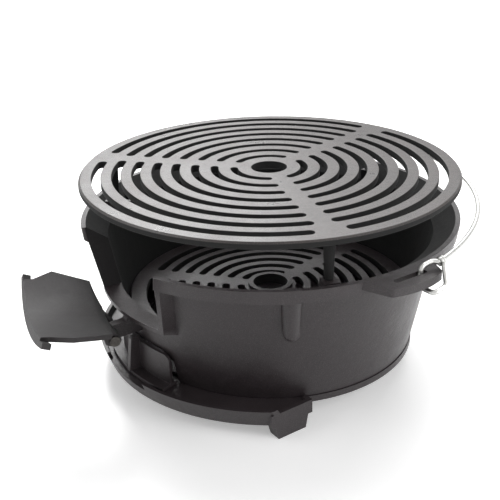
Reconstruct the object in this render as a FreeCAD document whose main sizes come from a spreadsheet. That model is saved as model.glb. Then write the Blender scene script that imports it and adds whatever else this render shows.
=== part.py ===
import FreeCAD, Part
import math
import operator
import os
import Sketcher

# Portable cast-iron barbecue grill: a tapered fire bowl on a three-footed base plate, with a
# fuel door, a sliding air damper, two loose grates and a wire carrying bail.
# Millimetres. The origin is on the bowl's axis at the ground, +Z is up, the fire door is at the
# front (-Y), and the two ears that hold the bail are on the X axis.

SIZES = (
    # Base plate
    ("floor_top", 27, "height of the base floor, where the bowl stands"),
    ("floor_thick", 5, "thickness of the base floor"),
    ("disc_radius", 162.5, "base disc under the bowl"),
    ("disc_edge", 7, "height of the disc's edge"),
    ("skirt_drop", 12, "down-turned edge of the apron, below the floor's top"),
    ("skirt_wall", 5, "thickness of the down-turned edge"),
    ("apron_radius", 198, "top of the apron's rim"),
    ("apron_draft", 7, "how far the rim leans in from its top to its foot"),
    ("rim_height", 8, "apron rim above the floor"),
    ("rim_wall", 4, "thickness of the apron rim"),
    ("side_rim", 3, "rim of the apron's flat sides, above the floor"),
    ("apron_half_width", 160, "flat sides of the apron"),
    ("apron_back", 66, "distance behind the axis plane where the flat sides end"),
    ("notch_half_width", 39.5, "ash notch in the apron rim"),
    ("foot_width", 34, "foot, along the edge"),
    ("foot_depth", 14, "foot, across the edge, at the ground"),
    ("foot_draft", 4.5, "growth of the foot on each side towards the floor"),
    ("ring_height", 4, "locating ring inside the bowl"),
    ("ring_wall", 5, "thickness of the locating ring"),
    ("ring_gap", 1, "play of the bowl round the locating ring"),
    # Bowl
    ("seat_gap", 0.3, "standing gap between castings that rest on each other"),
    ("bowl_foot_radius", 161.5, "outer radius of the bowl at its foot"),
    ("bowl_draft", 0.196, "outward slope of the bowl wall, per unit of height"),
    ("bowl_wall", 5.3, "thickness of the bowl wall"),
    ("lip_radius", 207.6, "outer radius of the lip at its top"),
    ("lip_draft", 1.8, "how far the lip's edge leans in to its lower corner"),
    ("lip_top", 171, "height of the lip"),
    ("lip_edge", 14, "height of the lip's outer edge"),
    ("lip_under", 10, "drop of the lip's underside from its edge to the wall"),
    ("lip_flat", 5.3, "flat top of the lip"),
    ("funnel_radius", 180, "inner end of the funnel band below the lip"),
    ("funnel_drop", 17, "height of the funnel band"),
    ("lip_round", 3, "rounded ends of the lip at the fuel opening"),
    # Fuel opening and its frame
    ("opening_half_top", 75, "half width between the cheeks at the lip"),
    ("opening_half_foot", 60, "half width between the cheeks at the sill"),
    ("cheek_wall", 5, "thickness of the cheeks"),
    ("sill_top", 103, "height of the sill"),
    ("sill_thick", 4, "thickness of the sill's front edge"),
    ("sill_depth", 10, "depth of the sill where it meets the wall"),
    ("frame_inset", 2.6, "front of the cheeks behind the lip's edge, at the top"),
    ("frame_lean", 15, "how much further back the cheeks and the sill are at the sill's height"),
    # Air inlet
    ("inlet_half_width", 48, "half width of the air inlet at its foot"),
    ("inlet_half_top", 35, "half width of the air inlet at its top edge"),
    ("inlet_top", 64, "top edge of the air inlet"),
    ("inlet_corner", 10, "height of the inlet's cut corners"),
    # Leg pockets and the lugs that carry the grates
    ("leg_circle", 183, "radius of the circle that the cooking grate's legs stand on"),
    ("boss_radius", 11, "outer radius of a leg pocket at the lip"),
    ("boss_tip_radius", 8.5, "outer radius of a leg pocket at its round end"),
    ("boss_foot", 106, "lowest point of a leg pocket"),
    ("pocket_floor", 124, "height of a leg pocket's floor inside"),
    ("pocket_bore", 13, "bore of a leg pocket"),
    ("third_turn", 120, "angle between the legs, the spokes and the feet"),
    ("spoke_turn", -18.8, "angle of the first spoke of both grates"),
    ("stand_top", 168, "top of the small stands on the funnel band"),
    ("stand_width", 15, "width of a stand"),
    ("stand_depth", 16, "depth of a stand"),
    ("stand_inset", 5.3, "inner end of a stand, inside the circle of the legs"),
    ("shelf_top", 67.7, "top of the lugs that carry the charcoal grate"),
    ("shelf_height", 12, "height of a charcoal grate lug"),
    ("shelf_radius", 150, "inner end of a charcoal grate lug"),
    ("shelf_width", 26, "width of a charcoal grate lug"),
    # Ears
    ("ear_thick", 8.4, "thickness of an ear"),
    ("ear_half_root", 43, "half width of an ear at the lip"),
    ("ear_half_tip", 32, "half width of an ear at the ends of its curved outer edge"),
    ("ear_curve", 93, "radius of an ear's curved outer edge"),
    ("ear_corner", 5, "rounded corners of an ear"),
    ("slot_gap", 9, "distance from the lip's edge to the slot in an ear"),
    ("slot_width", 6.6, "width of the slot in an ear"),
    ("slot_round", 2.8, "rounded corners of the slot"),
    ("ear_bar", 12.8, "width of the bar between the slot and the ear's outer edge"),
    ("slot_half", 20, "half length of the slot in an ear"),
    # Hinge of the fire door
    ("hinge_stand", 15, "distance of the hinge pin in front of the sill"),
    ("hinge_drop", 19, "distance of the hinge pin below the sill's top"),
    ("pin_radius", 3, "radius of the hinge pin"),
    ("pin_fit", 0.05, "running gap of the hinge pin in the door"),
    ("lug_half_width", 5, "half width of the bowl's hinge lug"),
    ("lug_radius", 8, "round end of the bowl's hinge lug"),
    ("lug_crown_gap", 1.5, "gap between the lug's round end and the fork's crown"),
    ("lug_root_drop", 3, "where the lug runs into the sill, below the sill's front edge"),
    ("lug_lean", 1.5, "how far the lug's front leans back over its round end"),
    ("lug_bore_play", 0.3, "gap of the pin in the lug's slotted bore"),
    ("fork_radius", 7, "round end of the door's fork"),
    ("fork_gap", 7.5, "half gap between the arms of the fork"),
    ("fork_half_width", 21, "half width across the fork"),
    ("door_open", 67, "fold of the fire door from shut to open"),
    ("door_skew", 15.5, "turn of the hanging door on its loose hinge"),
    # Fire door
    ("door_gap", 0.4, "gap between the shut door and the frame"),
    ("door_top_drop", 1, "top of the shut door below the lip"),
    ("door_thick", 5, "thickness of the door's plate"),
    ("door_half_foot", 62.5, "half width of the door at its lower edge"),
    ("door_half_wide", 77, "half width of the door at its shoulders"),
    ("door_half_top", 66, "half width of the door below its bar"),
    ("door_shoulder", 39, "height of the shoulders above the lower edge"),
    ("door_bar_foot", 58.5, "lower side of the bar above the door's lower edge"),
    ("door_bar_half", 80, "half length of the bar that rests on the lip's edge"),
    ("neck_rise", 9, "depth of the plate's pointed lower edge, down to the neck"),
    ("door_bar_gap", 0.9, "gap between the bar and the lip's edge"),
    ("door_bar_thick", 6, "thickness of the bar"),
    ("door_sweep", 60, "angle of the door's curved plate before its outline is cut"),
    ("plug_depth", 6, "raised pad that fits between the cheeks"),
    ("plug_gap", 2.5, "gap between the raised pad and the cheeks"),
    ("plug_foot", 4, "height of the raised pad above the door's lower edge"),
    ("plug_top", 51, "upper end of the raised pad above the door's lower edge"),
    # Hinge pin and split pin
    ("pin_head_radius", 5.5, "head of the hinge pin"),
    ("pin_head_thick", 3, "thickness of the pin's head"),
    ("pin_side_gap", 0.3, "gap between the fork and the pin's head"),
    ("pin_tail", 8, "length of the pin beyond the fork"),
    ("split_wire", 0.9, "radius of the split pin's wire"),
    ("split_place", 3, "distance of the split pin beyond the fork"),
    ("split_leg", 9, "length of the split pin below the hinge pin's axis"),
    ("split_eye", 2.2, "radius of the split pin's eye"),
    # Air damper
    ("damper_inner", 170.5, "inner radius of the damper's panel"),
    ("damper_wall", 4, "thickness of the damper's panel"),
    ("damper_top", 64, "top of the damper's panel"),
    ("damper_half_angle", 17, "half angle of the damper's panel"),
    ("damper_corner", 9, "rounded upper corners of the panel"),
    ("damper_foot_height", 4, "thickness of the damper's foot"),
    ("damper_foot_inner", 165, "inner radius of the damper's foot"),
    ("damper_foot_outer", 187, "outer radius of the damper's foot"),
    ("damper_foot_angle", 17.2, "half angle of the damper's foot"),
    ("fin_half_width", 3, "half thickness of the damper's finger fin"),
    ("fin_top", 70, "top of the fin"),
    ("fin_foot_reach", 188.5, "front of the fin at its foot"),
    ("fin_top_reach", 184, "front of the fin at its top"),
    ("fin_round", 2, "cut upper corner of the fin"),
    ("fin_root", 1, "how far the fin is let into the panel and the foot"),
    # Both grates
    ("grate_thick", 8, "thickness of both grates"),
    ("grate_bevel", 2, "bevelled rim of both grates"),
    ("hub_bore", 19.5, "hole in the middle of both grates"),
    # Cooking grate
    ("cook_radius", 206, "radius of the cooking grate"),
    ("cook_top", 219, "height of the cooking surface"),
    ("cook_row_first", 38.2, "centre radius of the innermost slots"),
    ("cook_row_pitch", 21.3, "distance between rows of slots"),
    ("cook_slot_width", 8, "width of the innermost slots"),
    ("cook_slot_growth", 0.28, "growth of the slots from row to row"),
    ("cook_spoke_hub", 8, "half width of a spoke at the hub"),
    ("cook_spoke_slope", 0.005, "growth of a spoke's half width along its length"),
    ("cook_last_half", 15.5, "half width of a spoke between the outermost slots, over the legs"),
    ("leg_top_radius", 6, "radius of a grate leg at its root"),
    ("leg_foot_radius", 4.5, "radius of a grate leg at its foot"),
    # Charcoal grate
    ("coal_radius", 162, "radius of the charcoal grate"),
    ("coal_row_first", 34, "centre radius of the innermost slots"),
    ("coal_row_pitch", 17.4, "distance between rows of slots"),
    ("coal_slot_width", 8.6, "width of the slots"),
    ("coal_spoke_hub", 6.5, "half width of a spoke at the hub"),
    ("coal_spoke_slope", 0.03, "growth of a spoke's half width along its length"),
    ("collar_wall", 6, "thickness of the raised collar round the hub hole"),
    ("collar_height", 4, "height of the raised collar"),
    # Carrying bail
    ("wire_radius", 2.5, "radius of the bail's wire"),
    ("bail_inset", 8.5, "how much smaller the hoop is than the reach of the ears"),
    ("bail_start", 14, "angle where the hoop leaves its straight ends"),
    ("bail_straight", 18, "length of the straight ends that carry the collars"),
    ("bail_tilt", 4.4, "rise of the folded bail above level"),
    ("eye_bend", 5, "bend of the eye's wire"),
    ("eye_play", 1.2, "gap between the eye's outer leg and the ear's edge"),
    ("eye_drop", 3, "gap between the ear and the eye's wire below it"),
    ("eye_place", 12, "distance of the eye behind the middle of the ear"),
    ("eye_rise", 20, "height of the eye's inner leg"),
    ("eye_lean", 2, "how far the inner leg leans back"),
    ("eye_top_lean", 15, "how far the eye's upper side runs back in line with the slot"),
    ("eye_out_rise", 3.5, "height of the eye's outer bend"),
    ("eye_out_lean", 16, "how far the eye's outer bend is behind the inner leg"),
    ("knee_rise", 21.5, "height of the closed end of the eye"),
    ("knee_lean", 21, "how far the closed end of the eye is behind the inner leg"),
    ("tail_place", 5.2, "distance of the wire's end beside the closed end of the eye"),
    ("collar_turn_radius", 3, "radius of the turns that close the eye"),
    ("collar_wire", 1.7, "radius of the wire in those turns"),
    ("collar_pitch", 3.4, "distance between those turns"),
    # Overruns of the cuts
    ("cut_over", 20, "how far a cut runs past what it cuts"),
)

COOK_ROWS = 8
COAL_ROWS = 7
COLLAR_TURNS = 2
THIRDS = 3

V = FreeCAD.Vector
UP = V(0, 0, 1)
ORIGIN_GEOMETRY, VERTICAL_AXIS = range(-1, -3, -1)
START, END, CENTRE = range(1, 4)
ORIGIN_POINT = START

doc = FreeCAD.newDocument("barbecue_grill")
sheet = doc.addObject("Spreadsheet::Sheet", "sizes")


def as_size(number):
    return number if isinstance(number, Size) else Size(number, repr(number))


def joined(left, sign, right):
    """Two sizes joined by one of the four signs, in value and in expression alike."""
    left = as_size(left)
    right = as_size(right)
    signs = {"+": operator.add, "-": operator.sub, "*": operator.mul, "/": operator.truediv}
    return Size(signs[sign](left.value, right.value), f"({left.text} {sign} {right.text})")


class Size:
    """A size with its value and the expression over the sheet that gives it."""

    def __init__(self, value, text):
        self.value = value
        self.text = text

    def __add__(self, other):
        return joined(self, "+", other)

    def __sub__(self, other):
        return joined(self, "-", other)

    def __mul__(self, other):
        return joined(self, "*", other)

    def __truediv__(self, other):
        return joined(self, "/", other)

    def __neg__(self):
        return Size(-self.value, f"(-{self.text})")


def cosine(angle):
    return Size(math.cos(math.radians(angle.value)), f"cos({angle.text})")


def sine(angle):
    return Size(math.sin(math.radians(angle.value)), f"sin({angle.text})")


def root(number):
    return Size(math.sqrt(number.value), f"sqrt({number.text})")


class Names:
    """Every named size of the sheet, as an attribute."""


names = Names()
for row, (alias, value, meaning) in enumerate(SIZES, start=1):
    sheet.set(f"A{row}", alias)
    sheet.set(f"B{row}", str(value))
    sheet.set(f"C{row}", meaning)
    sheet.setAlias(f"B{row}", alias)
    setattr(names, alias, Size(float(value), f"sizes.{alias}"))
doc.recompute()
ZERO = Size(0.0, "0")


def bind(thing, prop, size):
    thing.setExpression(prop, size.text)


def origin_part(body, role):
    """One of the body's own planes or axes."""
    return next(part for part in body.Origin.OriginFeatures if part.Role == role)


def new_body(label):
    body = doc.addObject("PartDesign::Body", label)
    body.Label = label
    return body


def new_sketch(body, name, plane, height=None):
    """A sketch on one of the body's planes, or at a height above it."""
    sketch = body.newObject("Sketcher::SketchObject", name)
    sketch.AttachmentSupport = [(origin_part(body, plane), "")]
    sketch.MapMode = "FlatFace"
    if height is not None:
        bind(sketch, "AttachmentOffset.Base.z", height)
    return sketch


def hold_place(sketch, kind, axis, geometry, point, size):
    """Hold one coordinate of a point of the sketch at a size, or on an axis where it is zero."""
    if size.value == 0:
        sketch.addConstraint(Sketcher.Constraint("PointOnObject", geometry, point, axis))
        return
    constraint = Sketcher.Constraint(
        kind, ORIGIN_GEOMETRY, ORIGIN_POINT, geometry, point, size.value)
    number = sketch.addConstraint(constraint)
    sketch.setExpression(f"Constraints[{number}]", size.text)


def hold_point(sketch, geometry, point, across, along):
    hold_place(sketch, "DistanceX", VERTICAL_AXIS, geometry, point, across)
    hold_place(sketch, "DistanceY", ORIGIN_GEOMETRY, geometry, point, along)


def hold_radius(sketch, geometry, size):
    number = sketch.addConstraint(Sketcher.Constraint("Radius", geometry, size.value))
    sketch.setExpression(f"Constraints[{number}]", size.text)


def add_outline(sketch, corners):
    """A closed outline of straight sides through the given corners."""
    first = sketch.GeometryCount
    count = len(corners)
    spots = [V(across.value, along.value, 0) for across, along in corners]
    for index in range(count):
        sketch.addGeometry(Part.LineSegment(spots[index], spots[(index + 1) % count]))
    for index in range(count):
        following = first + (index + 1) % count
        sketch.addConstraint(Sketcher.Constraint("Coincident", first + index, END, following, START))
    for index, (across, along) in enumerate(corners):
        hold_point(sketch, first + index, START, across, along)


def add_circle(sketch, across, along, radius):
    number = sketch.addGeometry(Part.Circle(V(across.value, along.value, 0), UP, radius.value))
    hold_point(sketch, number, CENTRE, across, along)
    hold_radius(sketch, number, radius)


def mirrored_outline(half):
    """The corners of a right half and of its mirror image on the left."""
    return half + [(-across, along) for across, along in reversed(half)]


def pad(body, name, sketch, length, both_ways=False):
    feature = body.newObject("PartDesign::Pad", name)
    feature.Profile = sketch
    bind(feature, "Length", length)
    feature.SideType = "Symmetric" if both_ways else "One side"
    doc.recompute()
    return feature


def pocket(body, name, sketch, length, side="One side", backwards=False):
    """A pocket that must take material away."""
    before = body.Shape.Volume
    feature = body.newObject("PartDesign::Pocket", name)
    feature.Profile = sketch
    bind(feature, "Length", length)
    feature.SideType = side
    feature.Reversed = backwards
    doc.recompute()
    if not body.Shape.Volume < before:
        raise ValueError(f"{body.Label}: {name} cuts nothing")
    return feature


def revolve(body, name, sketch, angle=None, axis=None):
    """A revolved profile: all the way round, or by an angle centred on the sketch's plane."""
    feature = body.newObject("PartDesign::Revolution", name)
    feature.Profile = sketch
    feature.ReferenceAxis = axis or (origin_part(body, "Z_Axis"), [""])
    feature.Angle = 360
    if angle is not None:
        feature.Midplane = True
        bind(feature, "Angle", angle)
    doc.recompute()
    return feature


def thrice(body, name, feature):
    """Three copies of a feature round the upright axis."""
    pattern = body.newObject("PartDesign::PolarPattern", name)
    pattern.Originals = [feature]
    pattern.Axis = (origin_part(body, "Z_Axis"), [""])
    pattern.Angle = 360
    pattern.Occurrences = THIRDS
    body.Tip = pattern
    doc.recompute()
    return pattern


def mirror_across(body, name, feature, plane):
    copy = body.newObject("PartDesign::Mirrored", name)
    copy.Originals = [feature]
    copy.MirrorPlane = (origin_part(body, plane), [""])
    body.Tip = copy
    doc.recompute()
    return copy


def round_off(body, name, feature, radius, wanted):
    """Round the edges of a feature that the test picks."""
    edges = [f"Edge{number}" for number, edge in enumerate(feature.Shape.Edges, start=1) if wanted(edge)]
    fillet = body.newObject("PartDesign::Fillet", name)
    fillet.Base = (feature, edges)
    bind(fillet, "Radius", radius)
    doc.recompute()
    return fillet


def frame_foot_radius():
    """Radius of the front of the cheeks and the sill at the sill's height."""
    return names.lip_radius - names.frame_inset - names.frame_lean


def bowl_radius(height):
    """Outer radius of the bowl's wall at a height."""
    return names.bowl_foot_radius + (height - names.floor_top) * names.bowl_draft


def frame_radius(height):
    """Radius of the front of the cheeks at a height."""
    share = (height - names.sill_top) / (names.lip_top - names.sill_top)
    return frame_foot_radius() + names.frame_lean * share


def opening_half(height):
    """Half width between the cheeks at a height."""
    rise = names.opening_half_top - names.opening_half_foot
    share = (height - names.sill_top) / (names.lip_top - names.sill_top)
    return names.opening_half_foot + rise * share


def slot_inner():
    return names.lip_radius + names.slot_gap


def slot_outer():
    return slot_inner() + names.slot_width


def ear_reach():
    return slot_outer() + names.ear_bar


def hinge_reach():
    """Distance of the hinge pin in front of the axis."""
    return frame_foot_radius() + names.hinge_stand


def hinge_height():
    return names.sill_top - names.hinge_drop


# Base plate

def build_base_plate():
    body = new_body("base_plate")
    top = names.floor_top
    under = top - names.floor_thick
    edge_foot = top - names.skirt_drop
    rim_top = top + names.rim_height
    outer = names.apron_radius
    foot = outer - names.apron_draft
    wall = names.rim_wall

    # The apron is a turned dish, trimmed to the front half and to its two flat sides.
    dish = new_sketch(body, "dish_section", "XZ_Plane")
    slope = names.apron_draft / (rim_top - edge_foot)
    add_outline(dish, [
        (ZERO, under), (foot - wall + slope * (under - edge_foot), under), (foot - wall, edge_foot),
        (foot, edge_foot), (outer, rim_top), (outer - wall, rim_top),
        (outer - wall - slope * names.rim_height, top), (ZERO, top)])
    revolve(body, "dish", dish)

    trim = new_sketch(body, "apron_trim", "XY_Plane", edge_foot - names.cut_over)
    far = outer + names.cut_over
    side = names.apron_half_width
    add_outline(trim, mirrored_outline([
        (far, far), (far, -far), (side, -far), (side, -names.apron_back)]))
    pocket(body, "apron_sides", trim, rim_top - edge_foot + names.cut_over * 2, backwards=True)

    # The flat sides are closed by walls that stand less high than the rim in front.
    corner = root(outer * outer - side * side)
    for sign, name in ((1, "right"), (-1, "left")):
        walls = new_sketch(body, f"{name}_wall_plan", "XY_Plane", edge_foot)
        inside = side - names.skirt_wall
        back = -names.apron_back
        beside_bowl = names.disc_radius + names.ring_gap
        return_end = root(beside_bowl * beside_bowl - back * back)
        plan = [
            (side, -corner), (side, back), (return_end, back), (return_end, back - names.skirt_wall),
            (inside, back - names.skirt_wall), (inside, -corner)]
        if sign < 0:
            plan = [(-across, along) for across, along in plan]
        add_outline(walls, plan)
        pad(body, f"{name}_wall", walls, top - edge_foot + names.side_rim)

    # The disc under the bowl is one piece with the floor.
    disc = new_sketch(body, "disc_section", "XZ_Plane")
    disc_foot = top - names.disc_edge
    inner = names.disc_radius - names.skirt_wall
    add_outline(disc, [
        (ZERO, under), (inner, under), (inner, disc_foot), (names.disc_radius, disc_foot),
        (names.disc_radius, top), (ZERO, top)])
    revolve(body, "disc", disc)

    # A low ring keeps the bowl in place. Its top stays under the charcoal and the ash.
    ring = new_sketch(body, "ring_section", "XZ_Plane")
    ring_outer = names.bowl_foot_radius - names.bowl_wall - names.ring_gap
    ring_inner = ring_outer - names.ring_wall
    add_outline(ring, [
        (ring_inner, under), (ring_outer, under), (ring_outer, top + names.ring_height),
        (ring_inner, top + names.ring_height)])
    revolve(body, "locating_ring", ring)

    # Ash is raked out through a notch in the apron's rim.
    notch = new_sketch(body, "notch_plan", "XY_Plane", top)
    half = names.notch_half_width
    near = -(outer - names.cut_over)
    add_outline(notch, [(half, near), (half, -far), (-half, -far), (-half, near)])
    pocket(body, "ash_notch", notch, names.rim_height + names.cut_over, backwards=True)

    # Three feet: one under each flat side and one under the back of the disc.
    half_width = names.foot_width / 2
    depth = names.foot_depth
    grow = names.foot_draft
    middle = (names.apron_back + corner) / 2
    front = (-middle - half_width, -middle + half_width)
    back_edge = names.disc_radius - grow
    # Name, extent across, extent along, and growth to the left and to the right.
    places = (
        ("right_foot", (side - depth, side), front, (grow, ZERO)),
        ("left_foot", (-side, depth - side), front, (ZERO, grow)),
        ("back_foot", (-half_width, half_width), (back_edge - depth, back_edge), (grow, grow)),
    )
    for name, (low_x, high_x), (low_y, high_y), (out_left, out_right) in places:
        lower = new_sketch(body, f"{name}_ground", "XY_Plane")
        add_outline(lower, [(low_x, low_y), (high_x, low_y), (high_x, high_y), (low_x, high_y)])
        upper = new_sketch(body, f"{name}_root", "XY_Plane", under)
        add_outline(upper, [
            (low_x - out_left, low_y - grow), (high_x + out_right, low_y - grow),
            (high_x + out_right, high_y + grow), (low_x - out_left, high_y + grow)])
        foot_block = body.newObject("PartDesign::AdditiveLoft", name)
        foot_block.Profile = lower
        foot_block.Sections = [upper]
        foot_block.Ruled = True
        doc.recompute()
    return body


# Bowl

def build_bowl():
    body = new_body("bowl")
    foot = names.floor_top + names.seat_gap
    lip_low = names.lip_top - names.lip_edge
    root_height = lip_low - names.lip_under
    wall = names.bowl_wall

    # The frame of the fuel opening is a turned block, cut to its cheeks and sill.
    frame = new_sketch(body, "frame_section", "YZ_Plane")
    sill_foot = names.sill_top - names.sill_depth
    inset = wall / 2
    add_outline(frame, [
        (inset - bowl_radius(sill_foot), sill_foot),
        (-frame_foot_radius(), names.sill_top - names.sill_thick),
        (-frame_foot_radius(), names.sill_top),
        (-frame_radius(lip_low), lip_low),
        (inset - bowl_radius(lip_low), lip_low)])
    revolve(body, "frame_block", frame, names.door_sweep)

    cheeks = new_sketch(body, "cheek_trim", "XZ_Plane")
    far = names.lip_radius
    over = names.cut_over
    low = sill_foot - over
    top_half = opening_half(lip_low) + names.cheek_wall
    foot_half = names.opening_half_foot + names.cheek_wall
    for sign in (1, -1):
        side = [(foot_half, low), (foot_half, names.sill_top), (top_half, lip_low),
                (top_half, lip_low + over), (far, lip_low + over), (far, low)]
        add_outline(cheeks, [(across * sign, along) for across, along in side])
    pocket(body, "cheek_sides", cheeks, names.lip_radius + over, backwards=True)

    # Wall, funnel band and lip in one turned section.
    section = new_sketch(body, "wall_section", "XZ_Plane")
    funnel_foot = names.lip_top - names.funnel_drop
    add_outline(section, [
        (bowl_radius(foot), foot), (bowl_radius(root_height), root_height),
        (names.lip_radius - names.lip_draft, lip_low), (names.lip_radius, names.lip_top),
        (names.lip_radius - names.lip_flat, names.lip_top), (names.funnel_radius, funnel_foot),
        (bowl_radius(foot) - wall, foot)])
    revolve(body, "wall", section)

    build_leg_pockets(body)
    build_ears(body)

    # The fuel opening goes down through the lip to the sill.
    opening = new_sketch(body, "opening_front", "XZ_Plane")
    above = names.lip_top + over
    add_outline(opening, mirrored_outline([
        (names.opening_half_foot, names.sill_top), (names.opening_half_top, names.lip_top),
        (names.opening_half_top, above)]))
    cut = pocket(body, "fuel_opening", opening, names.lip_radius + over, backwards=True)

    # The lip's cut ends are rounded, seen from above.
    def is_lip_end(edge):
        box = edge.BoundBox
        tall = box.ZLength > names.lip_edge.value / 2 and box.ZMin > root_height.value
        wide = abs(box.Center.x) < (names.opening_half_top + names.lip_draft).value
        return tall and wide and -box.YMax > names.leg_circle.value
    round_off(body, "lip_ends", cut, names.lip_round, is_lip_end)

    # Air inlet, with its upper corners cut off.
    inlet = new_sketch(body, "inlet_front", "XZ_Plane")
    add_outline(inlet, mirrored_outline([
        (names.inlet_half_width, foot - over), (names.inlet_half_width, names.inlet_top - names.inlet_corner),
        (names.inlet_half_top, names.inlet_top)]))
    pocket(body, "air_inlet", inlet, names.lip_radius + over, backwards=True)

    # Three lugs inside carry the charcoal grate.
    shelf = new_sketch(body, "shelf_plan", "XY_Plane", names.shelf_top - names.shelf_height)
    half = names.shelf_width / 2
    outer = bowl_radius(names.shelf_top - names.shelf_height) - wall / 2
    add_outline(shelf, [
        (-half, names.shelf_radius), (half, names.shelf_radius), (half, outer), (-half, outer)])
    thrice(body, "charcoal_lugs", pad(body, "charcoal_lug", shelf, names.shelf_height))

    build_hinge_lug(body)
    return body


def build_leg_pockets(body):
    """Three rounded pockets for the legs, and three low stands between them."""
    axis_place = names.leg_circle
    bottom = names.boss_foot
    radius = names.boss_radius
    root_top = names.lip_top - names.lip_edge
    tip = names.boss_tip_radius
    side = axis_place + radius
    turn = bottom + tip
    # The flank leans from the lip's underside down to the round end.
    boss = new_sketch(body, "leg_pocket_section", "YZ_Plane")
    spots = [V(place[0].value, place[1].value, 0) for place in (
        (axis_place, bottom), (axis_place, root_top), (side, root_top), (axis_place + tip, turn))]
    axis = boss.addGeometry(Part.LineSegment(spots[0], spots[1]))
    top = boss.addGeometry(Part.LineSegment(spots[1], spots[2]))
    flank = boss.addGeometry(Part.LineSegment(spots[2], spots[3]))
    ball = Part.Circle(V(axis_place.value, turn.value, 0), UP, tip.value)
    arc = boss.addGeometry(Part.ArcOfCircle(ball, -math.pi / 2, 0))
    for one, one_end, other, other_end in (
            (axis, END, top, START), (top, END, flank, START),
            (flank, END, arc, END), (arc, START, axis, START)):
        boss.addConstraint(Sketcher.Constraint("Coincident", one, one_end, other, other_end))
    hold_point(boss, axis, END, axis_place, root_top)
    hold_point(boss, top, END, side, root_top)
    hold_point(boss, arc, CENTRE, axis_place, turn)
    hold_radius(boss, arc, tip)
    hold_place(boss, "DistanceY", ORIGIN_GEOMETRY, arc, END, turn)
    boss.addConstraint(Sketcher.Constraint("Vertical", axis))
    centre_line = boss.addGeometry(Part.LineSegment(spots[0], spots[1]), True)
    boss.addConstraint(Sketcher.Constraint("Coincident", centre_line, START, axis, START))
    boss.addConstraint(Sketcher.Constraint("Coincident", centre_line, END, axis, END))
    boss_body = revolve(body, "leg_pocket", boss, axis=(boss, ["Axis0"]))
    thrice(body, "leg_pockets", boss_body)

    bore = new_sketch(body, "leg_bore_plan", "XY_Plane", names.pocket_floor)
    add_circle(bore, ZERO, axis_place, names.pocket_bore / 2)
    depth = names.lip_top - names.pocket_floor
    thrice(body, "leg_bores", pocket(body, "leg_bore", bore, depth, backwards=True))

    # Each stand is a small block on the funnel band, in line with a spoke of the grate.
    stand = new_sketch(body, "stand_plan", "XY_Plane", names.lip_top - names.funnel_drop)
    half = names.stand_width / 2
    near = names.leg_circle - names.stand_inset
    away = near + names.stand_depth
    turn_cos = cosine(names.spoke_turn)
    turn_sin = sine(names.spoke_turn)
    plan = [(near, -half), (away, -half), (away, half), (near, half)]
    add_outline(stand, [
        (out * turn_cos - across * turn_sin, out * turn_sin + across * turn_cos) for out, across in plan])
    height = names.stand_top - names.lip_top + names.funnel_drop - names.seat_gap
    thrice(body, "grate_stands", pad(body, "grate_stand", stand, height))


def build_ears(body):
    """Two flat ears flush with the lip, each with a curved outer edge and a slot."""
    low = names.lip_top - names.ear_thick
    ear = new_sketch(body, "ear_plan", "XY_Plane", low)
    root_place = names.lip_radius - names.lip_flat
    half_root = names.ear_half_root
    half_tip = names.ear_half_tip
    curve = names.ear_curve
    curve_centre = ear_reach() - curve
    tip_place = curve_centre + root(curve * curve - half_tip * half_tip)
    spots = [V(across.value, along.value, 0) for across, along in (
        (root_place, half_root), (root_place, -half_root), (tip_place, -half_tip), (tip_place, half_tip))]
    inner, near, far = [
        ear.addGeometry(Part.LineSegment(spots[start], spots[end])) for start, end in ((0, 1), (1, 2), (3, 0))]
    swing = math.atan2(half_tip.value, (tip_place - curve_centre).value)
    circle = Part.Circle(V(curve_centre.value, 0, 0), UP, curve.value)
    edge = ear.addGeometry(Part.ArcOfCircle(circle, -swing, swing))
    for one, one_end, other, other_end in (
            (inner, END, near, START), (near, END, edge, START),
            (edge, END, far, START), (far, END, inner, START)):
        ear.addConstraint(Sketcher.Constraint("Coincident", one, one_end, other, other_end))
    hold_point(ear, inner, START, root_place, half_root)
    hold_point(ear, inner, END, root_place, -half_root)
    hold_point(ear, edge, CENTRE, curve_centre, ZERO)
    hold_radius(ear, edge, curve)
    hold_place(ear, "DistanceY", ORIGIN_GEOMETRY, near, END, -half_tip)
    hold_place(ear, "DistanceY", ORIGIN_GEOMETRY, far, START, half_tip)
    ears = mirror_across(body, "ears", pad(body, "ear", ear, names.ear_thick), "YZ_Plane")

    def is_ear_corner(edge):
        box = edge.BoundBox
        upright = box.ZLength > names.ear_thick.value / 2 and box.XLength < names.ear_corner.value
        return upright and abs(box.Center.x) > (tip_place - names.ear_corner).value
    round_off(body, "ear_corners", ears, names.ear_corner, is_ear_corner)

    slot = new_sketch(body, "ear_slot_plan", "XY_Plane", low - names.cut_over)
    half = names.slot_half
    add_outline(slot, [
        (slot_inner(), -half), (slot_outer(), -half), (slot_outer(), half), (slot_inner(), half)])
    depth = names.ear_thick + names.cut_over * 2
    slots = mirror_across(body, "ear_slots", pocket(body, "ear_slot", slot, depth, backwards=True), "YZ_Plane")

    def is_slot_corner(edge):
        box = edge.BoundBox
        upright = box.ZLength > names.ear_thick.value / 2 and box.XLength < names.slot_round.value
        nearest = (slot_inner() - names.slot_round).value
        farthest = (slot_outer() + names.slot_round).value
        beside = nearest < abs(box.Center.x) < farthest
        return upright and beside and abs(box.Center.y) < (names.slot_half + names.slot_round).value
    round_off(body, "slot_corners", slots, names.slot_round, is_slot_corner)


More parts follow.
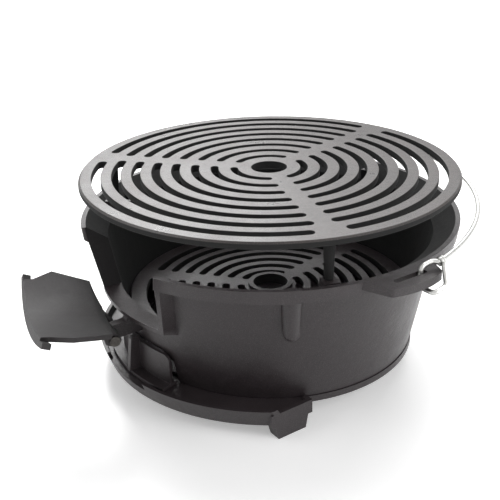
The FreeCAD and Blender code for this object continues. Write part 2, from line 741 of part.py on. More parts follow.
def build_hinge_lug(body):
    """One lug under the sill. Its bore is slotted, so that the door can hang askew."""
    reach = hinge_reach()
    height = hinge_height()
    lug = new_sketch(body, "hinge_lug_side", "YZ_Plane")
    root_top = names.sill_top - names.sill_thick - names.lug_root_drop
    behind = bowl_radius(height) - names.bowl_wall / 2
    lean = names.lug_lean
    add_outline(lug, [
        (-behind, root_top), (-behind, height - names.lug_radius),
        (-reach, height - names.lug_radius), (-reach, height + names.lug_radius),
        (lean - frame_foot_radius(), height + names.lug_radius),
        (names.sill_thick - frame_foot_radius(), root_top)])
    pad(body, "hinge_lug", lug, names.lug_half_width * 2, both_ways=True)
    end = new_sketch(body, "hinge_lug_end_side", "YZ_Plane")
    add_circle(end, -reach, height, names.lug_radius)
    pad(body, "hinge_lug_end", end, names.lug_half_width * 2, both_ways=True)

    # The slot is as long as the pin needs to swing across the lug's thickness.
    bore = new_sketch(body, "hinge_bore_side", "YZ_Plane")
    rise = names.pin_radius + names.lug_bore_play
    swing = names.lug_half_width * sine(names.door_skew) / cosine(names.door_skew)
    run = names.pin_radius / cosine(names.door_skew) + swing + names.lug_bore_play
    add_outline(bore, [
        (-reach - run, height - rise), (run - reach, height - rise),
        (run - reach, height + rise), (-reach - run, height + rise)])
    width = names.lug_half_width * 2 + names.cut_over
    pocket(body, "hinge_bore", bore, width, side="Symmetric")


# Fire door, modelled shut and then placed open

def door_placement():
    """Folded down about the hinge pin, and turned askew on its loose hinge."""
    hinge = V(0, -hinge_reach().value, hinge_height().value)
    fold = FreeCAD.Rotation(V(1, 0, 0), names.door_open.value)
    return FreeCAD.Placement(hinge, skew_rotation().multiply(fold)).multiply(
        FreeCAD.Placement(-hinge, FreeCAD.Rotation()))


def skew_rotation():
    return FreeCAD.Rotation(UP, -names.door_skew.value)


def pin_placement():
    hinge = V(0, -hinge_reach().value, hinge_height().value)
    return FreeCAD.Placement(hinge, skew_rotation()).multiply(
        FreeCAD.Placement(-hinge, FreeCAD.Rotation()))


def build_fire_door():
    body = new_body("fire_door")
    foot = names.sill_top
    top = names.lip_top - names.door_top_drop
    bar_foot = foot + names.door_bar_foot

    def face(height):
        return frame_radius(height) + names.door_gap

    # The raised pad inside, cut to fit between the cheeks.
    pad_foot = foot + names.plug_foot
    pad_top = foot + names.plug_top
    plug = new_sketch(body, "plug_section", "YZ_Plane")
    thick = names.door_thick
    add_outline(plug, [
        (names.plug_depth - face(pad_foot), pad_foot), (-face(pad_foot) - thick, pad_foot),
        (-face(pad_top) - thick, pad_top), (names.plug_depth - face(pad_top), pad_top)])
    revolve(body, "plug", plug, names.door_sweep)
    far = names.lip_radius
    over = names.cut_over
    plug_trim = new_sketch(body, "plug_trim", "XZ_Plane")
    low = foot - over
    high = top + over
    add_outline(plug_trim, [(far, low), (far, high), (-far, high), (-far, low)])
    add_outline(plug_trim, mirrored_outline([
        (opening_half(pad_foot) - names.plug_gap, low), (opening_half(pad_foot) - names.plug_gap, pad_foot),
        (opening_half(pad_top) - names.plug_gap, pad_top), (opening_half(pad_top) - names.plug_gap, high)]))
    reach = names.lip_radius + over * 2
    pocket(body, "plug_sides", plug_trim, reach, backwards=True)

    # The curved plate that laps over the cheeks. Its lower edge runs down to the neck of the hinge.
    plate = new_sketch(body, "plate_section", "YZ_Plane")
    point = foot - names.neck_rise
    add_outline(plate, [
        (-face(foot), point), (-face(foot) - thick, point), (-face(foot) - thick, foot),
        (-face(top) - thick, top), (-face(top), top), (-face(foot), foot)])
    revolve(body, "plate", plate, names.door_sweep)
    outline = new_sketch(body, "plate_trim", "XZ_Plane")
    deep = low - over
    add_outline(outline, [(far, deep), (far, high), (-far, high), (-far, deep)])
    add_outline(outline, mirrored_outline([
        (names.fork_half_width, low - names.neck_rise), (names.fork_half_width, point),
        (names.door_half_foot, foot), (names.door_half_wide, foot + names.door_shoulder),
        (names.door_half_top, bar_foot),
        (names.door_half_top, high - over / 2)]))
    pocket(body, "plate_outline", outline, reach, backwards=True)

    # The bar across the top laps over the lip on both sides.
    bar = new_sketch(body, "bar_section", "YZ_Plane")
    inner = names.lip_radius + names.door_bar_gap
    add_outline(bar, [
        (-face(bar_foot), bar_foot), (-inner - names.door_bar_thick, bar_foot),
        (-inner - names.door_bar_thick, top), (-inner, top), (-face(top), top)])
    bar_middle = new_sketch(body, "bar_middle_section", "YZ_Plane")
    add_outline(bar_middle, [
        (-inner, bar_foot), (-inner - names.door_bar_thick, bar_foot),
        (-inner - names.door_bar_thick, top), (-inner, top)])
    bar_share = names.door_bar_half / (inner + names.door_bar_thick)
    middle_share = names.door_half_top / (inner + names.door_bar_thick)
    bar_angle = Size(2 * math.degrees(math.asin(bar_share.value)), f"(2 * asin({bar_share.text}))")
    middle_angle = Size(2 * math.degrees(math.asin(middle_share.value)), f"(2 * asin({middle_share.text}))")
    revolve(body, "bar_root", bar, middle_angle)
    revolve(body, "bar", bar_middle, bar_angle)

    # Neck and fork of the hinge.
    neck = new_sketch(body, "neck_side", "YZ_Plane")
    hinge_y = -hinge_reach()
    hinge_z = hinge_height()
    size = names.fork_radius
    rise = hinge_z + size
    inner_face = -face(foot)
    add_outline(neck, [
        (inner_face - names.door_gap, foot), (inner_face, point),
        (hinge_y + size, hinge_z), (hinge_y - size, hinge_z), (hinge_y - size, rise),
        (-face(foot) - thick, foot)])
    pad(body, "neck", neck, names.fork_half_width * 2, both_ways=True)
    barrel = new_sketch(body, "barrel_side", "YZ_Plane")
    add_circle(barrel, hinge_y, hinge_z, size)
    pad(body, "barrel", barrel, names.fork_half_width * 2, both_ways=True)
    gap = new_sketch(body, "fork_gap_side", "YZ_Plane")
    back = hinge_y - size - over
    front = names.door_thick - face(foot)
    crown = hinge_z + names.lug_radius + names.lug_crown_gap
    add_outline(gap, [
        (back, hinge_z - size - over), (front, hinge_z - size - over),
        (front, crown), (back, crown)])
    pocket(body, "fork_opening", gap, names.fork_gap * 2, side="Symmetric")
    bore = new_sketch(body, "fork_bore_side", "YZ_Plane")
    add_circle(bore, hinge_y, hinge_z, names.pin_radius + names.pin_fit)
    pocket(body, "fork_bore", bore, names.fork_half_width * 2 + over, side="Symmetric")
    body.Placement = door_placement()
    return body


def build_hinge_pin():
    """Steel pin with a round head at one end and a cross hole at the other."""
    body = new_body("door_hinge_pin")
    head = names.fork_half_width + names.pin_side_gap
    tail = -names.fork_half_width - names.pin_tail
    # The section stands on the front plane; its axis is the hinge line.
    section = new_sketch(body, "pin_section", "XY_Plane", hinge_height())
    axis = -hinge_reach()
    radius = names.pin_radius
    add_outline(section, [
        (tail, axis), (tail, axis - radius), (head, axis - radius), (head, axis - names.pin_head_radius),
        (head + names.pin_head_thick, axis - names.pin_head_radius), (head + names.pin_head_thick, axis)])
    line = Part.LineSegment(V(tail.value, axis.value, 0), V(head.value, axis.value, 0))
    centre_line = section.addGeometry(line, True)
    hold_point(section, centre_line, START, tail, axis)
    hold_point(section, centre_line, END, head, axis)
    pin = revolve(body, "pin", section, axis=(section, ["Axis0"]))
    hole = new_sketch(body, "split_hole_plan", "XY_Plane", hinge_height() - radius * 2)
    across = -names.fork_half_width - names.split_place
    add_circle(hole, across, axis, names.split_wire + names.pin_fit)
    pocket(body, "split_hole", hole, radius * 2 + names.cut_over, backwards=True)
    body.Placement = pin_placement()
    return body


def build_split_pin():
    """Bent wire: an eye above the hinge pin and a leg down through its cross hole."""
    wire = names.split_wire.value
    eye = names.split_eye.value
    across = -names.fork_half_width.value - names.split_place.value
    depth = -hinge_reach().value
    height = hinge_height().value
    seat = height + names.pin_radius.value + wire
    centre = V(across, depth, seat + eye)
    ring = Part.makeTorus(eye, wire, centre, V(1, 0, 0))
    end = V(across, depth, height - names.split_leg.value)
    leg = Part.makeCylinder(wire, seat - end.z, end)
    tip = Part.makeSphere(wire, end)
    split_pin = doc.addObject("Part::Feature", "hinge_split_pin")
    split_pin.Label = "hinge_split_pin"
    split_pin.Shape = ring.fuse([leg, tip]).removeSplitter()
    split_pin.Placement = pin_placement()
    return split_pin


# Air damper

def build_air_damper():
    body = new_body("air_damper")
    foot = names.floor_top + names.seat_gap
    foot_top = foot + names.damper_foot_height
    outer = names.damper_inner + names.damper_wall
    panel = new_sketch(body, "panel_section", "YZ_Plane")
    add_outline(panel, [
        (-names.damper_inner, foot), (-outer, foot), (-outer, names.damper_top),
        (-names.damper_inner, names.damper_top)])
    sheet_of_iron = revolve(body, "panel", panel, names.damper_half_angle * 2)

    def is_upper_corner(edge):
        box = edge.BoundBox
        level = box.ZLength < names.seat_gap.value and box.ZMin > (names.damper_top - names.damper_wall).value
        return level and box.XLength < names.damper_wall.value
    round_off(body, "panel_corners", sheet_of_iron, names.damper_corner, is_upper_corner)
    flange = new_sketch(body, "flange_section", "YZ_Plane")
    add_outline(flange, [
        (-names.damper_foot_inner, foot), (-names.damper_foot_outer, foot),
        (-names.damper_foot_outer, foot_top), (-names.damper_foot_inner, foot_top)])
    revolve(body, "flange", flange, names.damper_foot_angle * 2)
    fin = new_sketch(body, "fin_side", "YZ_Plane")
    let_in = names.fin_root
    cut = names.fin_round
    add_outline(fin, [
        (let_in - outer, foot_top - let_in), (-names.fin_foot_reach, foot_top - let_in),
        (-names.fin_top_reach, names.fin_top - cut), (cut - names.fin_top_reach, names.fin_top),
        (let_in - outer, names.fin_top)])
    pad(body, "fin", fin, names.fin_half_width * 2, both_ways=True)
    return body


# Grates

def add_ring_slot(sketch, radius, width, spoke_half):
    """One curved slot between two spokes, a third of a turn apart, with rounded ends."""
    cap = width / 2
    inset = spoke_half + cap
    along_spoke = root(radius * radius - inset * inset)
    first = (along_spoke, inset)
    turn_cos = cosine(names.third_turn)
    turn_sin = sine(names.third_turn)
    last = (along_spoke * turn_cos + inset * turn_sin, along_spoke * turn_sin - inset * turn_cos)
    begin = math.atan2(first[1].value, first[0].value)
    finish = math.atan2(last[1].value, last[0].value)
    hub = V(0, 0, 0)
    outer = sketch.addGeometry(Part.ArcOfCircle(Part.Circle(hub, UP, (radius + cap).value), begin, finish))
    inner = sketch.addGeometry(Part.ArcOfCircle(Part.Circle(hub, UP, (radius - cap).value), begin, finish))
    caps = []
    for place, turn in ((first, begin + math.pi), (last, finish)):
        circle = Part.Circle(V(place[0].value, place[1].value, 0), UP, cap.value)
        caps.append(sketch.addGeometry(Part.ArcOfCircle(circle, turn, turn + math.pi)))
    ties = ((outer, START, caps[0], END), (inner, START, caps[0], START),
            (outer, END, caps[1], START), (inner, END, caps[1], END))
    for one, one_end, other, other_end in ties:
        sketch.addConstraint(Sketcher.Constraint("Tangent", one, one_end, other, other_end))
    sketch.addConstraint(Sketcher.Constraint("Coincident", outer, CENTRE, inner, CENTRE))
    sketch.addConstraint(Sketcher.Constraint("Coincident", outer, CENTRE, ORIGIN_GEOMETRY, ORIGIN_POINT))
    hold_radius(sketch, outer, radius + cap)
    hold_radius(sketch, inner, radius - cap)
    hold_place(sketch, "DistanceY", ORIGIN_GEOMETRY, caps[0], CENTRE, first[1])
    hold_place(sketch, "DistanceX", VERTICAL_AXIS, caps[1], CENTRE, last[0])


def add_grate_plate(body, radius, top):
    """A bevelled disc with a hub hole."""
    low = top - names.grate_thick
    bevel = names.grate_bevel
    section = new_sketch(body, "plate_section", "XZ_Plane")
    add_outline(section, [
        (names.hub_bore, low), (radius - bevel, low), (radius, low + bevel), (radius, top - bevel),
        (radius - bevel, top), (names.hub_bore, top)])
    return revolve(body, "plate", section)


def add_slot_rows(body, top, rows):
    """Rows of slots between the three spokes. rows holds (radius, width, spoke half width)."""
    sketch = new_sketch(body, "slot_plan", "XY_Plane", top + names.cut_over)
    for radius, width, spoke_half in rows:
        add_ring_slot(sketch, radius, width, spoke_half)
    cut = pocket(body, "slots", sketch, names.grate_thick + names.cut_over * 2)
    return thrice(body, "slot_thirds", cut)


def turn_to_spoke(body):
    body.Placement = FreeCAD.Placement(V(0, 0, 0), FreeCAD.Rotation(UP, names.spoke_turn.value))


def build_cooking_grate():
    body = new_body("cooking_grate")
    top = names.cook_top
    low = top - names.grate_thick
    add_grate_plate(body, names.cook_radius, top)
    rows = []
    for index in range(COOK_ROWS):
        radius = names.cook_row_first + names.cook_row_pitch * index
        width = names.cook_slot_width + names.cook_slot_growth * index
        half = names.cook_spoke_hub + names.cook_spoke_slope * radius
        # The outermost slots are shorter, to leave iron over the legs.
        rows.append((radius, width, half if index < COOK_ROWS - 1 else names.cook_last_half))
    add_slot_rows(body, top, rows)

    # Tapered legs under the spokes.
    leg = new_sketch(body, "leg_section", "XZ_Plane")
    place = names.leg_circle
    root_top = low + names.grate_thick / 2
    add_outline(leg, [
        (place, names.stand_top), (place + names.leg_foot_radius, names.stand_top),
        (place + names.leg_top_radius, low), (place + names.leg_top_radius, root_top), (place, root_top)])
    line = Part.LineSegment(V(place.value, names.stand_top.value, 0), V(place.value, root_top.value, 0))
    centre_line = leg.addGeometry(line, True)
    hold_point(leg, centre_line, START, place, names.stand_top)
    hold_point(leg, centre_line, END, place, root_top)
    thrice(body, "legs", revolve(body, "leg", leg, axis=(leg, ["Axis0"])))
    turn_to_spoke(body)
    return body


def build_charcoal_grate():
    body = new_body("charcoal_grate")
    top = names.shelf_top + names.seat_gap + names.grate_thick
    add_grate_plate(body, names.coal_radius, top)
    rows = []
    for index in range(COAL_ROWS):
        radius = names.coal_row_first + names.coal_row_pitch * index
        rows.append((radius, names.coal_slot_width, names.coal_spoke_hub + names.coal_spoke_slope * radius))
    add_slot_rows(body, top, rows)
    collar = new_sketch(body, "collar_section", "XZ_Plane")
    outer = names.hub_bore + names.collar_wall
    low = top - names.grate_thick / 2
    high = top + names.collar_height
    add_outline(collar, [(names.hub_bore, low), (outer, low), (outer, high), (names.hub_bore, high)])
    revolve(body, "collar", collar)
    turn_to_spoke(body)
    return body


# Carrying bail

def bent_wire(corners, bend):
    """Straight runs through the corners, joined by tangent arcs of one bend radius."""
    edges = []
    start = corners[0]
    for index in range(1, len(corners) - 1):
        corner = corners[index]
        back = (corners[index - 1] - corner).normalize()
        ahead = (corners[index + 1] - corner).normalize()
        half_turn = (math.pi - back.getAngle(ahead)) / 2
        trim = bend * math.tan(half_turn)
        enter = corner + back * trim
        leave = corner + ahead * trim
        inward = (back + ahead).normalize()
        centre = corner + inward * (bend / math.cos(half_turn))
        edges.append(Part.LineSegment(start, enter).toShape())
        edges.append(Part.Arc(enter, centre - inward * bend, leave).toShape())
        start = leave
    edges.append(Part.LineSegment(start, corners[-1]).toShape())
    return edges


def build_carry_bail():
    """One wire: a hoop, two straight ends, and an eye through the slot and round the bar of each ear."""
    wire = names.wire_radius.value
    ear_foot = names.lip_top.value - names.ear_thick.value
    low = V(0, names.eye_place.value, ear_foot - names.eye_drop.value - wire)
    tilt = math.radians(names.bail_tilt.value)
    along_hoop = V(0, math.cos(tilt), math.sin(tilt))
    right = V(1, 0, 0)
    begin = math.radians(names.bail_start.value)
    radius = ear_reach().value - names.bail_inset.value
    straight = names.bail_straight.value

    def beside(across, lean, rise):
        return low + V(across, lean.value, rise.value)

    inner = (slot_inner() + names.slot_width / 2).value
    outer = ear_reach().value + wire + names.eye_play.value
    # The knee is where the eye ends and the straight end of the hoop begins.
    knee = beside(radius * math.cos(begin) + straight * math.sin(begin), names.knee_lean, names.knee_rise)
    hoop_start = knee + (along_hoop * math.cos(begin) - right * math.sin(begin)) * straight
    hoop_centre = hoop_start - right * (radius * math.cos(begin)) - along_hoop * (radius * math.sin(begin))
    hoop_top = hoop_centre + along_hoop * radius
    hoop_end = V(-hoop_start.x, hoop_start.y, hoop_start.z)
    tail = knee + right * names.tail_place.value
    right_edges = bent_wire([
        hoop_start, knee, beside(inner, names.eye_top_lean, names.knee_rise),
        beside(inner, names.eye_lean, names.eye_rise), beside(inner, ZERO, ZERO),
        beside(outer, ZERO, ZERO), beside(outer, names.eye_out_lean, names.eye_out_rise), tail],
        names.eye_bend.value)
    left_edges = [edge.mirror(V(0, 0, 0), right) for edge in right_edges]
    hoop = Part.Arc(hoop_start, hoop_top, hoop_end).toShape()
    path = Part.Wire(Part.__sortEdges__(left_edges + [hoop] + right_edges))
    tail_point = path.OrderedVertexes[0].Point
    tail_heading = path.OrderedVertexes[1].Point - tail_point
    ring = Part.Wire(Part.makeCircle(wire, tail_point, tail_heading))
    bent = path.makePipeShell([ring], True, False)
    # Turns of the wire's tail close each eye.
    heading = (hoop_start - knee).normalize()
    for turn in range(COLLAR_TURNS):
        place = knee + heading * (names.collar_pitch.value * turn)
        coil = Part.makeTorus(names.collar_turn_radius.value, names.collar_wire.value, place, heading)
        bent = bent.fuse(coil)
        bent = bent.fuse(coil.mirror(V(0, 0, 0), right))
    bail = doc.addObject("Part::Feature", "carry_bail")
    bail.Label = "carry_bail"
    bail.Shape = bent
    bail.Placement = FreeCAD.Placement()
    return bail


# Build every sub-part, test it and write it out

def main():
    parts = [
        build_base_plate(), build_bowl(), build_fire_door(), build_hinge_pin(), build_split_pin(),
        build_air_damper(), build_charcoal_grate(), build_cooking_grate(), build_carry_bail()]
    doc.recompute()
    for thing in doc.Objects:
        if "Invalid" in thing.State or "Error" in thing.State:
            raise ValueError(f"{thing.Label} failed: {thing.State}")
    os.makedirs("parts", exist_ok=True)
    for part in parts:
        if part.Shape.isNull() or not part.Shape.isValid():
            raise ValueError(f"{part.Label} has no valid shape")
        box = part.Shape.BoundBox
        print(part.Label, len(part.Shape.Solids), round(part.Shape.Volume), box)
        part.Shape.exportStep(f"parts/{part.Label}.step")


main()
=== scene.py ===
import math

import bpy
from mathutils import Matrix, Vector

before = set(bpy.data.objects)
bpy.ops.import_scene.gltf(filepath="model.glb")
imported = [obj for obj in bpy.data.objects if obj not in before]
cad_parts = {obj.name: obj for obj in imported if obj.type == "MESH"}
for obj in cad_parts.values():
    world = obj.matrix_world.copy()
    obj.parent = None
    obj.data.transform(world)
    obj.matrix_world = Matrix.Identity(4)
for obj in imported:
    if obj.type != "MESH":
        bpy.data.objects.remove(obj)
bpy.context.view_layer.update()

# Portable cast-iron barbecue grill. The frame holds the castings, the hinge pin and the bail;
# this script gives them their finishes, softens their cast edges and lights them.
# Metres. +Z is up, the fire door is at the front (-Y) and the ears are on the X axis.

MM = 0.001


def linear(code):
    """An sRGB hex colour as linear RGBA."""
    channels = [int(code[start:start + 2], 16) / 255 for start in (1, 3, 5)]
    return [c / 12.92 if c <= 0.04045 else ((c + 0.055) / 1.055) ** 2.4 for c in channels] + [1]


def add_node(tree, kind, settings=None, inputs=None):
    """A shader node with its settings, its socket values and its links."""
    node = tree.nodes.new(kind)
    for name, value in (settings or {}).items():
        setattr(node, name, value)
    for name, value in (inputs or {}).items():
        if isinstance(value, bpy.types.NodeSocket):
            tree.links.new(value, node.inputs[name])
        else:
            node.inputs[name].default_value = value
    return node


def new_material(name):
    """An empty node material and its surface shader."""
    material = bpy.data.materials.new(name)
    material.use_nodes = True
    tree = material.node_tree
    return material, tree, tree.nodes["Principled BSDF"]


def add_ramp(tree, factor, stops):
    """A colour ramp through (place, hex colour) stops."""
    ramp = add_node(tree, "ShaderNodeValToRGB", inputs={"Fac": factor})
    elements = ramp.color_ramp.elements
    while len(elements) > len(stops):
        elements.remove(elements[-1])
    while len(elements) < len(stops):
        elements.new(1.0)
    for element, (place, code) in zip(elements, stops):
        element.position = place
        element.color = linear(code)
    return ramp.outputs["Color"]


# Materials

# Sand grains of the mould, the soft unevenness of a cast face, and patches of oil, in metres.
# A real grain is 0.2 mm. It is drawn coarser, so that it shows.
SAND_GRAIN = 0.9 * MM
CAST_WAVE = 12 * MM
CAST_WAVE_HEIGHT = 0.9 * MM
OIL_PATCH = 55 * MM
ZINC_SPOT = 2 * MM
STEEL_STAIN = 4 * MM

# Painted shade: fire-side and upright faces are painted black and almost without gloss, for the shade
# that falls inside the bowl and in the grates' slots.
PAINTED_SHADE = "#060606"
PAINTED_SHADE_ROUGHNESS = 0.9

# How far a face looks up, and how far it looks away from the bowl's axis, where the painted shade gives
# way to the film.
LOOKS_UP = (0.25, 0.85)
LOOKS_OUT = (-0.5, -0.05)

# The middle part of a noise, which carries nearly all of its change.
NOISE_LOW, NOISE_HIGH = 0.3, 0.7


def upward_share(tree, coordinates):
    """One on level faces that look up and zero on upright and hanging ones."""
    parts = add_node(tree, "ShaderNodeSeparateXYZ", inputs={"Vector": coordinates.outputs["Normal"]})
    share = add_node(tree, "ShaderNodeMapRange", {"interpolation_type": "SMOOTHSTEP"}, {
        "Value": parts.outputs["Z"], "From Min": LOOKS_UP[0], "From Max": LOOKS_UP[1]})
    return share.outputs["Result"]


def outward_share(tree, coordinates):
    """One on faces that look away from the bowl's axis and zero on those that look towards the fire."""
    level = add_node(tree, "ShaderNodeVectorMath", {"operation": "MULTIPLY"}, {
        0: coordinates.outputs["Object"], 1: (1, 1, 0)})
    radial = add_node(tree, "ShaderNodeVectorMath", {"operation": "NORMALIZE"}, {
        0: level.outputs["Vector"]})
    facing = add_node(tree, "ShaderNodeVectorMath", {"operation": "DOT_PRODUCT"}, {
        0: radial.outputs["Vector"], 1: coordinates.outputs["Normal"]})
    share = add_node(tree, "ShaderNodeMapRange", {"interpolation_type": "SMOOTHSTEP"}, {
        "Value": facing.outputs["Value"], "From Min": LOOKS_OUT[0], "From Max": LOOKS_OUT[1]})
    return share.outputs["Result"]


def cast_iron(name, dark, light, worn, smooth, rough, grain_depth, unshaded_share):
    """Seasoned cast iron: a near-black oil film over sand-cast grain, whose peaks are rubbed lighter.

    Faces that the given share leaves out are painted black and dull instead of the film, as painted
    shade.
    """
    material, tree, surface = new_material(name)
    coordinates = add_node(tree, "ShaderNodeTexCoord")
    place = coordinates.outputs["Object"]
    unshaded = unshaded_share(tree, coordinates)
    patches = add_node(tree, "ShaderNodeTexNoise", inputs={
        "Vector": place, "Scale": 1 / OIL_PATCH, "Detail": 4.0, "Roughness": 0.6})
    grain = add_node(tree, "ShaderNodeTexNoise", inputs={
        "Vector": place, "Scale": 1 / SAND_GRAIN, "Detail": 3.0, "Roughness": 0.65})
    wave = add_node(tree, "ShaderNodeTexNoise", inputs={
        "Vector": place, "Scale": 1 / CAST_WAVE, "Detail": 2.0, "Roughness": 0.5})
    film = add_ramp(tree, patches.outputs["Fac"], ((NOISE_LOW, dark), (NOISE_HIGH, light)))
    # The grain's peaks catch the light through the film.
    peaks = add_node(tree, "ShaderNodeMapRange", inputs={
        "Value": grain.outputs["Fac"], "From Min": 0.5, "From Max": 0.72, "To Min": 0.0, "To Max": 0.5})
    speckled = add_node(tree, "ShaderNodeMix", {"data_type": "RGBA"}, {
        "Factor": peaks.outputs["Result"]})
    tree.links.new(film, speckled.inputs["A"])
    speckled.inputs["B"].default_value = linear(worn)
    # Painted shade: black where the share is zero, on fire-side and upright faces.
    shade_painted = add_node(tree, "ShaderNodeMix", {"data_type": "RGBA"}, {"Factor": unshaded})
    shade_painted.inputs["A"].default_value = linear(PAINTED_SHADE)
    tree.links.new(speckled.outputs["Result"], shade_painted.inputs["B"])
    tree.links.new(shade_painted.outputs["Result"], surface.inputs["Base Color"])
    # The film's gloss changes from patch to patch, so a cast face never shines evenly.
    gloss = add_node(tree, "ShaderNodeMapRange", inputs={
        "Value": patches.outputs["Fac"], "From Min": NOISE_LOW, "From Max": NOISE_HIGH,
        "To Min": smooth, "To Max": rough})
    dulled = add_node(tree, "ShaderNodeMapRange", inputs={
        "Value": unshaded, "To Min": PAINTED_SHADE_ROUGHNESS, "To Max": gloss.outputs["Result"]})
    tree.links.new(dulled.outputs["Result"], surface.inputs["Roughness"])
    surface.inputs["Metallic"].default_value = 0.0
    # Slow swells and fine grain break up the reflections, as on a face cast in sand.
    swell = add_node(tree, "ShaderNodeBump", inputs={
        "Height": wave.outputs["Fac"], "Distance": CAST_WAVE_HEIGHT, "Strength": 0.4})
    skin = add_node(tree, "ShaderNodeBump", inputs={
        "Height": grain.outputs["Fac"], "Distance": grain_depth, "Strength": 0.6,
        "Normal": swell.outputs["Normal"]})
    tree.links.new(skin.outputs["Normal"], surface.inputs["Normal"])
    return material


def zinc_wire():
    """Bright zinc-plated steel wire: a soft metallic sheen with small uneven spots in it."""
    material, tree, surface = new_material("zinc_plated_wire")
    place = add_node(tree, "ShaderNodeTexCoord").outputs["Object"]
    spots = add_node(tree, "ShaderNodeTexNoise", inputs={
        "Vector": place, "Scale": 1 / ZINC_SPOT, "Detail": 2.0})
    colour = add_ramp(tree, spots.outputs["Fac"], ((NOISE_LOW, "#b4b4b1"), (NOISE_HIGH, "#cfcfcc")))
    tree.links.new(colour, surface.inputs["Base Color"])
    surface.inputs["Metallic"].default_value = 1.0
    gloss = add_node(tree, "ShaderNodeMapRange", inputs={
        "Value": spots.outputs["Fac"], "To Min": 0.22, "To Max": 0.38})
    tree.links.new(gloss.outputs["Result"], surface.inputs["Roughness"])
    return material


def pin_steel():
    """Plain turned steel, darkened by heat and handling: a dull sheen between the black castings."""
    material, tree, surface = new_material("turned_steel")
    place = add_node(tree, "ShaderNodeTexCoord").outputs["Object"]
    stains = add_node(tree, "ShaderNodeTexNoise", inputs={
        "Vector": place, "Scale": 1 / STEEL_STAIN, "Detail": 3.0})
    colour = add_ramp(tree, stains.outputs["Fac"], ((NOISE_LOW, "#3a3836"), (NOISE_HIGH, "#55524f")))
    tree.links.new(colour, surface.inputs["Base Color"])
    surface.inputs["Metallic"].default_value = 1.0
    gloss = add_node(tree, "ShaderNodeMapRange", inputs={
        "Value": stains.outputs["Fac"], "To Min": 0.35, "To Max": 0.5})
    tree.links.new(gloss.outputs["Result"], surface.inputs["Roughness"])
    return material


# The film's dark and light tones, its rubbed grain, its smoothest and roughest gloss and the
# grain's depth.
# Faces that look towards the bowl's axis are painted black as shade.
BODY_IRON = cast_iron(
    "seasoned_cast_iron", "#201a1c", "#2b2527", "#575052", 0.32, 0.48, 0.3 * MM, outward_share)
# The grates' tops are rubbed by food and tools, and shine more than the body. Their upright
# and hanging faces, the slots' walls among them, are painted black as shade.
GRATE_IRON = cast_iron(
    "worn_cast_iron", "#191413", "#29211f", "#6a5f5b", 0.26, 0.42, 0.28 * MM, upward_share)
# The door's inner face is baked by the fire and shines least. Its film is painted darker than
# the body's as shade, and its faces that look towards the bowl's axis are painted black as shade.
DOOR_IRON = cast_iron(
    "fire_dulled_cast_iron", "#151112", "#1e1a1b", "#453f40", 0.56, 0.68, 0.3 * MM, outward_share)
WIRE = zinc_wire()
PIN = pin_steel()

FINISHES = {
    "base_plate": BODY_IRON,
    "bowl": BODY_IRON,
    "fire_door": DOOR_IRON,
    "air_damper": BODY_IRON,
    "charcoal_grate": BODY_IRON,
    "cooking_grate": GRATE_IRON,
    "door_hinge_pin": PIN,
    "hinge_split_pin": PIN,
    "carry_bail": WIRE,
}

# Cast edges are rounded by the mould and by fettling; the steel pieces stay crisp.
EDGE_ROUND = {
    "base_plate": 1.5 * MM,
    "bowl": 1.7 * MM,
    "fire_door": 1.3 * MM,
    "air_damper": 1.2 * MM,
    "charcoal_grate": 1.5 * MM,
    "cooking_grate": 1.9 * MM,
}
SHARP_EDGE = math.radians(28)
EDGE_STEPS = 3

# The frame's meshes come in triangles. Corners this close are one, and faces this level are one.
SAME_CORNER = 0.01 * MM
SAME_FACE = math.radians(1)


def dress(name):
    """Gives a node its finish and rounds its cast edges."""
    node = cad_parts[name]
    mesh = node.data
    mesh.materials.clear()
    mesh.materials.append(FINISHES[name])
    if name in EDGE_ROUND:
        weld = node.modifiers.new("join_corners", "WELD")
        weld.merge_threshold = SAME_CORNER
        flat = node.modifiers.new("join_flat_faces", "DECIMATE")
        flat.decimate_type = "DISSOLVE"
        flat.angle_limit = SAME_FACE
        bevel = node.modifiers.new("cast_edges", "BEVEL")
        bevel.width = EDGE_ROUND[name]
        bevel.segments = EDGE_STEPS
        bevel.limit_method = "ANGLE"
        bevel.angle_limit = SHARP_EDGE
        bevel.use_clamp_overlap = True
        bevel.miter_outer = "MITER_ARC"
        shading = node.modifiers.new("even_shading", "WEIGHTED_NORMAL")
        shading.mode = "FACE_AREA"
        shading.weight = 100


for node_name in FINISHES:
    dress(node_name)


# Studio

# Soft boxes: name, place, point that it faces, size across and along in metres, and watts.
SOFT_BOXES = (
    ("top_box", (-0.7, 0.7, 1.6), (0, 0, 0.15), (1.8, 1.4), 38),
    ("back_box", (-2.0, 0.9, 1.6), (0, 0, 0.2), (1.0, 0.8), 19),
    ("side_box", (1.6, 0.5, 0.9), (0, 0, 0.1), (1.0, 1.4), 14),
    ("front_box", (-0.7, -1.5, 1.5), (0, 0, 0.1), (1.2, 1.0), 12),
)

# Strength of the white fill that the surroundings give. 1 is white.
FILL = 0.3

# The floor's half width, its tone, and the white that it shows beyond that: some right up to the
# grill, where it keeps the shadow, and full white well away from it.
FLOOR_HALF = 6.0
FLOOR_TONE = "#f7f7f7"
NEAR_GLOW, FAR_GLOW = 0.34, 1.0
NEAR_REACH, FAR_REACH = 0.45, 1.5

# The photograph's camera, solved from the grates and the base. The place is in metres.
FOCAL_PIXELS = 882.07
FRAME_PIXELS = 500
CAMERA_ROLL = -0.0217453
CAMERA_FORWARD = (-0.75023, 0.51898, -0.40965)
CAMERA_PLACE = (0.7396, -0.5393, 0.5308)


def add_area_light(name, place, target, size, power):
    """A soft box that faces a point."""
    data = bpy.data.lights.new(name, "AREA")
    data.shape = "RECTANGLE"
    data.size = size[0]
    data.size_y = size[1]
    data.energy = power
    lamp = bpy.data.objects.new(name, data)
    bpy.context.scene.collection.objects.link(lamp)
    lamp.location = place
    lamp.rotation_euler = (Vector(target) - Vector(place)).to_track_quat("-Z", "Y").to_euler()


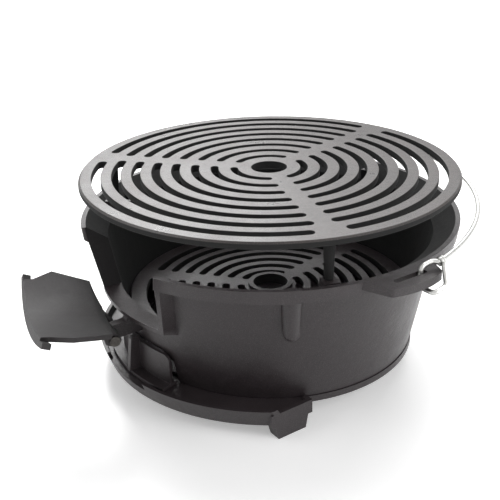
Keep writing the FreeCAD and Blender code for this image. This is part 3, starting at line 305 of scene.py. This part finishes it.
def clear_view(tree):
    """One for camera, glossy and transmission rays, and zero for the rays that only carry light."""
    path = add_node(tree, "ShaderNodeLightPath").outputs
    seen = add_node(tree, "ShaderNodeMath", {"operation": "ADD", "use_clamp": True}, {
        0: path["Is Camera Ray"], 1: path["Is Glossy Ray"]})
    clear = add_node(tree, "ShaderNodeMath", {"operation": "ADD", "use_clamp": True}, {
        0: seen.outputs["Value"], 1: path["Is Transmission Ray"]})
    return clear.outputs["Value"]


def add_floor():
    """A pale floor under the grill. Its glow shows in views and reflections and gives no other light."""
    corners = [(across * FLOOR_HALF, along * FLOOR_HALF, 0)
               for across, along in ((-1, -1), (1, -1), (1, 1), (-1, 1))]
    mesh = bpy.data.meshes.new("floor")
    mesh.from_pydata(corners, [], [(0, 1, 2, 3)])
    floor = bpy.data.objects.new("floor", mesh)
    bpy.context.scene.collection.objects.link(floor)
    material, tree, surface = new_material("pale_floor")
    surface.inputs["Base Color"].default_value = linear(FLOOR_TONE)
    surface.inputs["Roughness"].default_value = 0.3
    surface.inputs["Specular IOR Level"].default_value = 0.35
    surface.inputs["Emission Color"].default_value = (1, 1, 1, 1)
    reach = add_node(tree, "ShaderNodeVectorMath", {"operation": "LENGTH"}, {
        0: add_node(tree, "ShaderNodeTexCoord").outputs["Object"]})
    glow = add_node(tree, "ShaderNodeMapRange", {"interpolation_type": "SMOOTHSTEP"}, {
        "Value": reach.outputs["Value"], "From Min": NEAR_REACH, "From Max": FAR_REACH,
        "To Min": NEAR_GLOW, "To Max": FAR_GLOW})
    seen_glow = add_node(tree, "ShaderNodeMath", {"operation": "MULTIPLY"}, {
        0: glow.outputs["Result"], 1: clear_view(tree)})
    tree.links.new(seen_glow.outputs["Value"], surface.inputs["Emission Strength"])
    mesh.materials.append(material)


def light_world():
    """White to the camera and in reflections, and a softer white fill elsewhere."""
    world = bpy.data.worlds.new("studio")
    bpy.context.scene.world = world
    world.use_nodes = True
    tree = world.node_tree
    background = tree.nodes["Background"]
    background.inputs["Color"].default_value = (1, 1, 1, 1)
    strength = add_node(tree, "ShaderNodeMapRange", inputs={
        "Value": clear_view(tree), "To Min": FILL, "To Max": 1.0})
    tree.links.new(strength.outputs["Result"], background.inputs["Strength"])


def add_camera():
    """A camera that sees the grill as the photograph does."""
    forward = Vector(CAMERA_FORWARD).normalized()
    level = forward.cross(Vector((0, 0, 1))).normalized()
    above = level.cross(forward)
    across = level * math.cos(CAMERA_ROLL) + above * math.sin(CAMERA_ROLL)
    upward = above * math.cos(CAMERA_ROLL) - level * math.sin(CAMERA_ROLL)
    data = bpy.data.cameras.new("photo_camera")
    data.sensor_fit = "HORIZONTAL"
    data.sensor_width = 36
    data.lens = FOCAL_PIXELS / FRAME_PIXELS * data.sensor_width
    camera = bpy.data.objects.new("photo_camera", data)
    bpy.context.scene.collection.objects.link(camera)
    camera.matrix_world = Matrix.Translation(CAMERA_PLACE) @ Matrix((
        across, upward, -forward)).transposed().to_4x4()
    bpy.context.scene.camera = camera


add_floor()
light_world()
for soft_box in SOFT_BOXES:
    add_area_light(*soft_box)
add_camera()
bpy.context.scene.view_settings.view_transform = "Standard"
